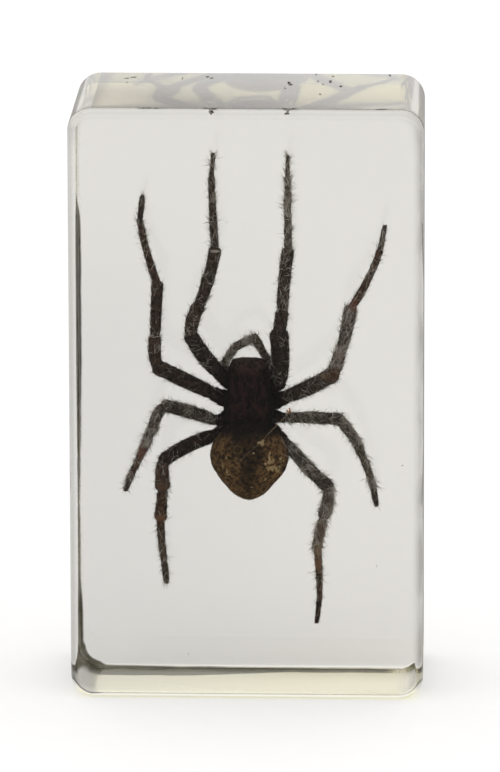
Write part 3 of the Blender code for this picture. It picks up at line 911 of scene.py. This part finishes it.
def add_eye(shells, rings, away, height, radius):
    x = MIDDLE_X + away
    y = surface_y(rings, x, height)
    shells.add(ball_rings((x, y - 0.02, height), (radius, radius, radius), 8, 12), (0.0, 0.0, 1.0), 1)


# Dimples on the abdomen's back: distance from the middle line, height, radius, depth.
SIGILLA = ((1.25, 30.3, 0.3, 0.16), (1.25, 29.3, 0.34, 0.22), (1.0, 27.7, 0.26, 0.16),
           (0.8, 26.3, 0.22, 0.12))


def add_abdomen(shells):
    rings = body_rings(ABDOMEN_SECTIONS, ABDOMEN_POLES, BODY_RINGS + 20, BODY_SIDES)
    offset = np.abs(rings[..., 0] - MIDDLE_X)
    high = rings[..., 2]
    depth = np.zeros(offset.shape)
    for away, height, radius, deep in SIGILLA:
        reach = np.hypot(offset - away, high - height)
        rim = 0.05 * np.exp(-((reach - 1.6 * radius) / 0.15) ** 2)
        depth += deep * np.exp(-(reach / radius) ** 2) - rim
    # Soft cross folds towards the spinnerets, where the dried skin draws in.
    depth += 0.05 * np.sin(high * 7.5) * np.clip((27.5 - high) / 3.0, 0.0, 1.0)
    rings = sink(rings, depth)
    belly = np.clip(np.tanh(rings[..., 1] - 0.3), 0.0, 1.0)
    fold = np.exp(-((high - 29.6 + 0.12 * offset ** 2) / 0.14) ** 2) * (offset < 3.2)
    rings[..., 1] -= 0.3 * fold * belly
    lungs = np.exp(-((offset - 1.9) / 0.75) ** 2 - ((high - 30.4) / 0.5) ** 2)
    rings[..., 1] += 0.12 * lungs * belly
    rings = roughen(rings, (0.14, 0.55, 50), (0.06, 1.8, 51), (0.025, 5.0, 52))
    shells.add(rings, (0.0, 0.0, -1.0), 2)


# Tapering forms: start, end (x from the middle line), radii, warmth, bloom, seed, sides.
JAW = ((0.75, -0.4, 39.3), (0.7, 2.5, 38.7), (0.72, 0.8, 0.68, 0.45), 0.35, 0.1, 60, 20)
# Mouth lobes and two pairs of spinnerets.
PAIRED_FORMS = (
    ((1.1, 2.0, 36.9), (0.62, 2.25, 38.1), (0.42, 0.55, 0.42), 0.3, 0.1, 62, 16),
    ((0.55, 1.5, 24.3), (0.38, 3.0, 23.9), (0.42, 0.36, 0.2), 0.2, 0.3, 64, 14),
    ((0.42, 1.3, 23.6), (0.34, 2.5, 23.1), (0.36, 0.32, 0.18), 0.2, 0.3, 66, 14),
)
# Lip, last tubercle, waist and the small form in the fold of the belly.
SINGLE_FORMS = (
    ((0.0, 2.1, 36.7), (0.0, 2.35, 37.5), (0.5, 0.45, 0.3), 0.2, 0.0, 68, 16),
    ((0.0, 1.3, 23.2), (0.0, 1.9, 22.8), (0.32, 0.28, 0.14), 0.2, 0.2, 69, 12),
    ((0.0, 0.3, 32.3), (0.0, 0.2, 31.0), (0.5, 0.45, 0.5), 0.3, 0.0, 70, 16),
    ((0.0, 2.5, 29.9), (0.0, 3.15, 29.2), (0.4, 0.32, 0.14), 0.5, 0.0, 71, 16),
)


def add_form(shells, form, side):
    """A blunt tapering form, on one side of the middle line or, with side 0, on it."""
    (start_x, *start_yz), (end_x, *end_yz), radii, warm, bloom, seed, sides = form
    start = np.array((MIDDLE_X + side * start_x, *start_yz))
    end = np.array((MIDDLE_X + side * end_x, *end_yz))
    shares = np.linspace(0.0, 1.0, len(radii) * 4)
    thickness = np.interp(shares, np.linspace(0.0, 1.0, len(radii)), radii)
    places, thickness = capped(start + (end - start) * shares[:, None], thickness)
    rings, tangents = tube_rings(places, thickness, sides, 1.0)
    shells.add(roughen(rings, (0.03, 2.5, seed + side)), tangents, 0, warm, bloom)


def add_fang(shells, side):
    turn = np.linspace(0.0, 1.0, 10)
    places = np.stack((MIDDLE_X + side * (0.95 - 0.75 * turn), 2.75 + 0.15 * np.sin(turn * math.pi),
                       38.65 - 0.3 * turn), axis=1)
    rings, tangents = tube_rings(places, np.linspace(0.17, 0.02, 10), 10, 1.0)
    shells.add(rings, tangents, 1)


def add_underside(shells):
    """Jaws with fangs, mouth lobes, lip, breastplate, waist and spinnerets."""
    for side in (-1.0, 1.0):
        add_form(shells, JAW, side)
        add_fang(shells, side)
        for form in PAIRED_FORMS:
            add_form(shells, form, side)
    for form in SINGLE_FORMS:
        add_form(shells, form, 0.0)
    rings = ball_rings((MIDDLE_X, 1.95, 34.7), (1.75, 0.85, 2.35), 36, 40)
    narrowing = np.clip((rings[..., 2] - 32.2) / 2.6, 0.35, 1.0)
    rings[..., 0] = MIDDLE_X + (rings[..., 0] - MIDDLE_X) * narrowing
    shells.add(roughen(rings, (0.05, 1.6, 72)), (0.0, 0.0, -1.0), 0, 0.15, 0.2)


# -------------------------------------------------------------- hair making

def hair_strands(places, normals, leans, lengths, radii, bend):
    """Tapering three-sided hairs: points and faces. With a bend they have a middle ring."""
    ways = unit(leans)
    helper = np.where(np.abs(ways[:, :1]) < 0.8, (1.0, 0.0, 0.0), (0.0, 0.0, 1.0))
    first = unit(np.cross(ways, helper))
    second = np.cross(ways, first)
    halfway = places + ways * lengths[:, None] * 0.5
    if bend:
        lying = unit(leans - normals * np.sum(leans * normals, axis=1)[:, None])
        later = unit(ways * (1.0 - bend) + lying * bend)
        tips = halfway + later * lengths[:, None] * 0.5
        rings = ((places - ways * 0.02, 1.0), (halfway, 0.7))
        pattern = ((0, 1, 4, 3), (1, 2, 5, 4), (2, 0, 3, 5), (3, 4, 6), (4, 5, 6), (5, 3, 6), (2, 1, 0))
    else:
        tips = places + ways * lengths[:, None]
        rings = ((places - ways * 0.02, 1.0),)
        pattern = ((0, 1, 3), (1, 2, 3), (2, 0, 3), (2, 1, 0))
    corners = []
    for centre, share in rings:
        for turn in (0.0, 2.0 * math.pi / 3.0, 4.0 * math.pi / 3.0):
            spread = first * math.cos(turn) + second * math.sin(turn)
            corners.append(centre + spread * (radii * share)[:, None])
    points = np.stack(corners + [tips], axis=1).reshape(-1, 3)
    base = np.arange(len(places))[:, None] * (len(corners) + 1)
    faces = []
    for face in pattern:
        faces += (base + np.array(face)).tolist()
    return points, faces


# Share of the hairs that are pale where the skin carries full bloom.
PALE_SHARE = 0.3


def add_hairs(name, shells, material, seed, count, length, thickness, rise, stray, bend, chance):
    """Hairs on shells. Rise is how steeply they stand, stray how far they leave the flow.

    Where the shells carry more bloom, more of the hairs are pale. Chance gives each
    place of the shells its weight in the draw.
    """
    places, normals, flows, bloom = shells.scatter(count, chance, seed)
    rng = np.random.default_rng(seed + 1)
    sideways = unit(np.cross(normals, flows))
    along = unit(flows - normals * np.sum(flows * normals, axis=1)[:, None])
    swing = rng.normal(0.0, stray, (count, 1))
    lying = along * np.cos(swing) + sideways * np.sin(swing)
    steep = np.clip(rng.normal(rise, rise * 0.3, (count, 1)), 0.02, 1.4)
    leans = lying * np.cos(steep) + normals * np.sin(steep)
    lengths = rng.uniform(length[0], length[1], count)
    radii = thickness * rng.uniform(0.75, 1.25, count)
    points, faces = hair_strands(places, normals, leans, lengths, radii, bend)
    patches = np.clip(0.9 + 1.6 * wobble_at(places, 1.1, seed), 0.0, 2.0)
    tone = (rng.random(count) < PALE_SHARE * bloom * patches) * rng.uniform(0.45, 1.0, count)
    marks = {"bloom": np.repeat(tone, len(points) // count)}
    hairs = make_mesh(name, points, faces, [material], marks=marks)
    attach(hairs, "root")
    return hairs


# ----------------------------------------------------------------- the stage

def make_camera():
    aim = Vector((AIM_RIGHT, -BLOCK_DEPTH / 2.0, BLOCK_HEIGHT / 2.0 + AIM_UP))
    forward = Vector((-math.sin(CAMERA_AZIMUTH) * math.cos(CAMERA_ELEVATION),
                      math.cos(CAMERA_AZIMUTH) * math.cos(CAMERA_ELEVATION),
                      -math.sin(CAMERA_ELEVATION)))
    level_right = forward.cross(Vector((0.0, 0.0, 1.0))).normalized()
    level_up = level_right.cross(forward)
    cos_roll = math.cos(CAMERA_ROLL)
    sin_roll = math.sin(CAMERA_ROLL)
    right = cos_roll * level_right + sin_roll * level_up
    up = cos_roll * level_up - sin_roll * level_right
    data = bpy.data.cameras.new("camera")
    data.sensor_fit = "AUTO"
    data.sensor_width = SENSOR
    data.lens = FOCAL_PIXELS * SENSOR / max(IMAGE_WIDTH, IMAGE_HEIGHT)
    data.clip_start = CLIP_START
    data.clip_end = CLIP_END
    camera = bpy.data.objects.new("camera", data)
    axes = Matrix((right, up, -forward)).transposed()
    camera.matrix_world = Matrix.Translation(aim - forward * CAMERA_DISTANCE) @ axes.to_4x4()
    bpy.context.scene.collection.objects.link(camera)
    bpy.context.scene.camera = camera


def make_floor():
    bpy.ops.mesh.primitive_plane_add(size=FLOOR_SIZE, location=(0.0, 0.0, -FLOOR_DROP))
    floor = bpy.context.object
    floor.name = "floor"
    material, graph = new_material("floor_paper")
    place = graph.node("TexCoord").outputs["Object"]
    paper = graph.noise(place, 300.0, 2.0)
    graph.put("Base Color", graph.mix(paper, (0.9, 0.905, 0.915), (0.92, 0.925, 0.935)))
    graph.put("Roughness", 0.9)
    graph.put("Specular IOR Level", 0.0)
    floor.data.materials.append(material)
    # What mirrors in the resin from below is the world light, not the floor.
    floor.visible_glossy = False


# World light: levels by height (sine of elevation) and their colour, then the level and
# the colour below the horizon, in front of the block and behind it. The sizes and heights
# of lamp and floor are in metres.
SKY_STOPS = ((-1.0, 0.92), (-0.02, 0.98), (0.1, 1.2), (0.235, 1.3), (0.285, 1.03),
             (0.5, 0.91), (1.0, 0.89))
SKY_COLOUR = (1.0, 0.985, 0.965)
DARK_FRONT = 0.12
DIM_BEHIND = (0.34, 0.335, 0.32)
OVERHEAD_POWER = 3.2
OVERHEAD_SIZE = 1.0
OVERHEAD_HEIGHT = 1.0
FLOOR_SIZE = 6.0
FLOOR_DROP = 0.05 * MM
LIGHT_BOUNCES = 24
MIRROR_BOUNCES = 20


def add_stops(ramp, stops, colour):
    """Stops are (value from -1 to 1, level)."""
    while len(ramp.elements) < len(stops):
        ramp.elements.new(1.0)
    for element, (value, level) in zip(ramp.elements, stops):
        element.position = (value + 1.0) / 2.0
        element.color = (*(level * channel for channel in colour), 1.0)


def make_lights():
    world = bpy.data.worlds.new("world")
    bpy.context.scene.world = world
    graph = Graph(world)
    _, deep, high = graph.axes(graph.node("TexCoord").outputs["Generated"])
    sky = graph.node("ValToRGB", {"Fac": high.scaled(0.5, 0.5)})
    add_stops(sky.color_ramp, SKY_STOPS, SKY_COLOUR)
    # Below the horizon, only mirror rays see past the floor: dark where the viewer stands.
    below = high.step(0.0, -0.05)
    front = deep.step(0.2, -0.3) * high.step(-0.6, -0.4)
    colour = graph.mix(below * front, sky.outputs[0], (DARK_FRONT, DARK_FRONT, DARK_FRONT))
    behind = below * deep.step(0.8, 0.9)
    colour = graph.mix(behind, colour, DIM_BEHIND)
    background = graph.tree.nodes["Background"]
    graph.feed(background.inputs["Color"], colour)
    background.inputs["Strength"].default_value = 1.0

    data = bpy.data.lights.new("overhead", "AREA")
    data.shape = "RECTANGLE"
    data.size = OVERHEAD_SIZE
    data.size_y = OVERHEAD_SIZE
    data.energy = OVERHEAD_POWER
    light = bpy.data.objects.new("overhead", data)
    light.location = (0.0, 0.0, OVERHEAD_HEIGHT)
    bpy.context.scene.collection.objects.link(light)

    bpy.context.scene.view_settings.view_transform = "Standard"
    cycles = bpy.context.scene.cycles
    cycles.max_bounces = LIGHT_BOUNCES
    cycles.glossy_bounces = MIRROR_BOUNCES
    cycles.transmission_bounces = LIGHT_BOUNCES


# ---------------------------------------------------------------- the pieces

def make_resin():
    bm = bmesh.new()
    bmesh.ops.create_cube(bm, size=1.0)
    for vert in bm.verts:
        width = BLOCK_WIDTH - 2.0 * SIDE_DRAW if vert.co.y > 0.0 else BLOCK_WIDTH
        height = (vert.co.z + 0.5) * (BLOCK_HEIGHT - SPECK_HEIGHT)
        vert.co = Vector((vert.co.x * width, vert.co.y * BLOCK_DEPTH, height))
    layer = bm.edges.layers.float.new("bevel_weight_edge")
    for edge in bm.edges:
        along = edge.verts[0].co - edge.verts[1].co
        edge[layer] = 1.0 if abs(along.y) > BLOCK_DEPTH / 2.0 else 0.0
    mesh = bpy.data.meshes.new("resin_block")
    bm.to_mesh(mesh)
    bm.free()
    mesh.shade_smooth()
    block = add_object("resin_block", mesh)
    for name, method, width, segments in (("corner rounds", "WEIGHT", CORNER_RADIUS, 16),
                                          ("rim rounds", "ANGLE", EDGE_RADIUS, 10)):
        rounds = block.modifiers.new(name, "BEVEL")
        rounds.limit_method = method
        rounds.width = width
        rounds.segments = segments
        rounds.harden_normals = True
    rounds.angle_limit = 1.0
    mesh.materials.append(resin_material())
    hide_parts("resin_front", "resin_back")
    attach(block, "root")
    # The lamp lights the spider and the floor as if the resin stood in no light's way.
    block.visible_shadow = False


def make_spider():
    body = Shells()
    add_carapace(body)
    add_abdomen(body)
    trunk = shells_object("spider_body", body, [carapace_material(), eye_material(), abdomen_material()])
    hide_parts("spider")
    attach(trunk, "root")

    limbs = Shells()
    for index, (hip, segments) in enumerate(LEGS.values()):
        add_leg(limbs, hip, segments, 100 + 60 * index)
    for index, points in enumerate(PALPS.values()):
        add_palp(limbs, points, 700 + index)
    add_underside(limbs)
    limb_object = shells_object("spider_legs", limbs, [leg_material(), eye_material()])
    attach(limb_object, "root")
    return body, limbs


def off_palps(centres, bloom):
    """Bristles stand on the legs, and none on the feelers."""
    near = (np.abs(centres[:, 0] - MIDDLE_X) < 3.0) & (centres[:, 2] > 37.8)
    return np.where(near, 0.0, 1.0)


def in_clumps(centres, bloom):
    """Matted hairs lie in clumps on the segments that carry bloom."""
    clumps = np.clip(wobble_at(centres, 0.8, 23) + 0.45, 0.0, 1.0)
    return (0.03 + bloom ** 1.3) * clumps ** 2


def make_hairs(body, limbs):
    dark = hair_material("dark_bristles", (0.024, 0.017, 0.013), (0.13, 0.095, 0.072), (0.36, 0.32, 0.28))
    brown = hair_material("brown_hairs", (0.01, 0.007, 0.0055), (0.08, 0.058, 0.044), (0.6, 0.54, 0.48))
    pale = hair_material("pale_hairs", (0.07, 0.06, 0.05), (0.24, 0.21, 0.18), (0.6, 0.56, 0.51))
    white = hair_material("white_hairs", (0.28, 0.25, 0.22), (0.56, 0.51, 0.46), (0.9, 0.85, 0.79))

    def anywhere(centres, bloom):
        return np.ones(len(centres))

    # Name, shells, material, seed, count, lengths, radius, rise, stray, bend and chance.
    coats = (
        ("leg_bristles", limbs, dark, 11, 3600, (0.35, 1.0), 0.02, 0.8, 0.35, 0.45, off_palps),
        ("leg_coat_left", limbs, brown, 13, 30000, (0.12, 0.33), 0.017, 0.55, 0.45, 0.0,
         lambda centres, bloom: centres[:, 0] < MIDDLE_X),
        ("leg_coat_right", limbs, brown, 14, 30000, (0.12, 0.33), 0.017, 0.55, 0.45, 0.0,
         lambda centres, bloom: centres[:, 0] >= MIDDLE_X),
        ("leg_down", limbs, pale, 15, 3500, (0.2, 0.6), 0.014, 0.12, 0.9, 0.6,
         lambda centres, bloom: 0.15 + bloom),
        ("leg_matting", limbs, white, 21, 7600, (0.5, 1.6), 0.03, 0.12, 0.9, 0.5, in_clumps),
        ("body_coat", body, brown, 17, 16000, (0.1, 0.26), 0.014, 0.35, 0.4, 0.0, anywhere),
        ("body_down", body, pale, 19, 1500, (0.12, 0.35), 0.011, 0.15, 0.9, 0.6, anywhere),
    )
    for coat in coats:
        add_hairs(*coat)


# Fine threads: name, radius, first and second colour, and the places they run through.
THREADS = (
    ("silk_upper", 0.018, (0.28, 0.25, 0.22), (0.44, 0.4, 0.36),
     ((8.47, -4.95, 38.85), (7.4, -4.85, 37.45), (6.34, -4.7, 36.05), (4.95, -4.45, 34.15))),
    ("silk_middle", 0.034, (0.2, 0.14, 0.09), (0.36, 0.28, 0.2),
     ((4.95, -4.45, 34.15), (4.22, -4.4, 33.31), (3.2, -4.4, 32.25), (2.21, -4.35, 31.21))),
    ("silk_lower", 0.02, (0.16, 0.12, 0.08), (0.34, 0.28, 0.2),
     ((2.21, -4.35, 31.21), (1.6, -4.35, 30.45), (0.55, -4.4, 29.56), (-1.11, -4.35, 27.91))),
    ("loose_bristle", 0.12, (0.3, 0.11, 0.035), (0.52, 0.25, 0.1),
     ((4.7, -4.3, 34.4), (4.86, -4.4, 34.16), (5.02, -4.45, 34.22), (4.98, -4.4, 34.7))),
    ("leg_strand_upper", 0.026, (0.26, 0.24, 0.22), (0.46, 0.43, 0.4),
     ((3.95, -1.6, 30.75), (4.25, -2.2, 29.95), (4.85, -2.6, 29.35), (5.3, -2.9, 28.6),
      (6.1, -3.2, 27.75))),
    ("leg_strand_lower", 0.026, (0.3, 0.28, 0.26), (0.52, 0.49, 0.46),
     ((4.35, -2.3, 28.6), (5.1, -2.8, 28.25), (5.9, -3.1, 27.7), (6.6, -3.2, 27.2))),
    ("ring_of_silk", 0.05, (0.42, 0.38, 0.34), (0.6, 0.56, 0.52),
     ((-4.35, -1.5, 53.0), (-3.95, -1.9, 53.12), (-3.5, -1.7, 53.28))),
)


def add_thread(name, radius, first, second, points):
    places, share = smooth_path(points)
    radii = radius * np.interp(share, (0.0, 0.5, 1.0), (0.7, 1.0, 0.6))
    rings, tangents = tube_rings(places, radii, 6, 1.0)
    shells = Shells()
    shells.add(roughen(rings, (radius * 0.3, 4.0, 90)), tangents)
    material = plain_material(name, first, second, 3.0)
    thread = make_mesh(name, np.concatenate(shells.points), shells.faces, [material])
    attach(thread, "root")


# Dust on the top face: x, y, half size in x and in y, and turn in degrees.
TOP_SPECKS = (
    (-14.6, 6.2, 0.3, 0.26, 12.0), (-13.85, 6.8, 0.4, 0.2, 8.0), (-14.48, 4.1, 0.1, 0.22, 0.0),
    (-8.04, 6.41, 0.06, 0.8, 0.0), (-5.1, 7.3, 0.2, 0.34, -25.0), (-4.6, 6.6, 0.24, 0.28, -20.0),
    (4.69, 3.95, 0.2, 1.0, 8.0), (4.85, 3.3, 0.26, 0.5, 0.0), (4.24, 1.42, 0.09, 0.3, 20.0),
    (7.66, 8.97, 0.1, 0.3, 0.0), (8.01, 5.24, 0.1, 0.34, 0.0), (8.64, 3.66, 0.15, 0.28, 0.0),
    (9.49, 5.01, 0.18, 0.8, 0.0), (9.7, 7.95, 0.16, 0.26, 30.0), (10.79, 2.66, 0.2, 0.44, 0.0),
    (8.45, -1.63, 0.12, 0.34, 0.0), (16.42, 8.67, 0.12, 0.44, 15.0),
)
# Dirt along the rounded front lip of the top: start x, end x, start and end angle, half width.
LIP_SPECKS = (
    (-12.6, -9.9, 9.0, 12.0, 0.13), (-5.0, -3.1, 9.0, 9.0, 0.14), (-4.05, -3.95, 12.0, 66.0, 0.2),
    (-4.25, -3.65, 42.0, 50.0, 0.19), (4.2, 6.3, 9.0, 11.0, 0.15), (5.05, 4.85, 12.0, 60.0, 0.15),
    (4.55, 5.15, 58.0, 52.0, 0.13), (15.2, 16.7, 11.0, 9.0, 0.1),
)
# Specks sealed beside the spider: place and half sizes.
SEALED_SPECKS = (
    ((18.24, 0.0, 27.01), (0.12, 0.05, 0.05)), ((15.18, 0.0, 14.65), (0.05, 0.05, 0.08)),
    ((-2.42, 0.0, 56.46), (0.06, 0.05, 0.06)), ((-7.16, 0.0, 3.62), (0.03, 0.03, 0.11)),
)


def add_specks():
    shells = Shells()
    top = (BLOCK_HEIGHT - SPECK_HEIGHT) / MM
    for index, (x, y, half_x, half_y, turn) in enumerate(TOP_SPECKS):
        rings = ball_rings((0.0, 0.0, 0.0), (half_x, half_y, SPECK_HEIGHT / MM), 8, 12)
        ragged = 1.0 + 0.35 * wobble_at(rings, 1.5 / half_x, 300 + index)
        rings = rings * np.stack((ragged, ragged, np.ones(ragged.shape)), axis=-1)
        cos_turn = math.cos(math.radians(turn))
        sin_turn = math.sin(math.radians(turn))
        turned_x = rings[..., 0] * cos_turn - rings[..., 1] * sin_turn
        turned_y = rings[..., 0] * sin_turn + rings[..., 1] * cos_turn
        rings = np.stack((turned_x + x, turned_y + y, rings[..., 2] + top), axis=-1)
        shells.add(rings, (0.0, 0.0, 1.0))
    reach = EDGE_RADIUS / MM
    for index, (start_x, end_x, start_angle, end_angle, half_width) in enumerate(LIP_SPECKS):
        shares = np.linspace(0.0, 1.0, 24)
        angles = np.radians(start_angle + (end_angle - start_angle) * shares)
        x = start_x + (end_x - start_x) * shares
        inside = reach - 0.3 * half_width
        y = reach - BLOCK_DEPTH / MM / 2.0 - np.sin(angles) * inside
        z = top - reach + np.cos(angles) * inside
        radii = half_width * np.interp(shares, (0.0, 0.15, 0.8, 1.0), (0.3, 1.0, 0.9, 0.2))
        places, radii = capped(np.stack((x, y, z), axis=1), radii)
        rings, tangents = tube_rings(places, radii, 10, 0.5)
        rings = roughen(rings, (half_width * 0.5, 3.0, 340 + index))
        rings[..., 2] = np.minimum(rings[..., 2], BLOCK_HEIGHT / MM)
        shells.add(rings, tangents)
    for place, half_sizes in SEALED_SPECKS:
        shells.add(ball_rings(place, half_sizes, 6, 10), (0.0, 0.0, 1.0))
    material = plain_material("dark_dust", (0.018, 0.017, 0.015), (0.24, 0.225, 0.205), 2.5)
    specks = make_mesh("dust_specks", np.concatenate(shells.points), shells.faces, [material])
    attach(specks, "root")


make_camera()
make_floor()
make_lights()
make_resin()
BODY, LIMBS = make_spider()
make_hairs(BODY, LIMBS)
for THREAD in THREADS:
    add_thread(*THREAD)
add_specks()
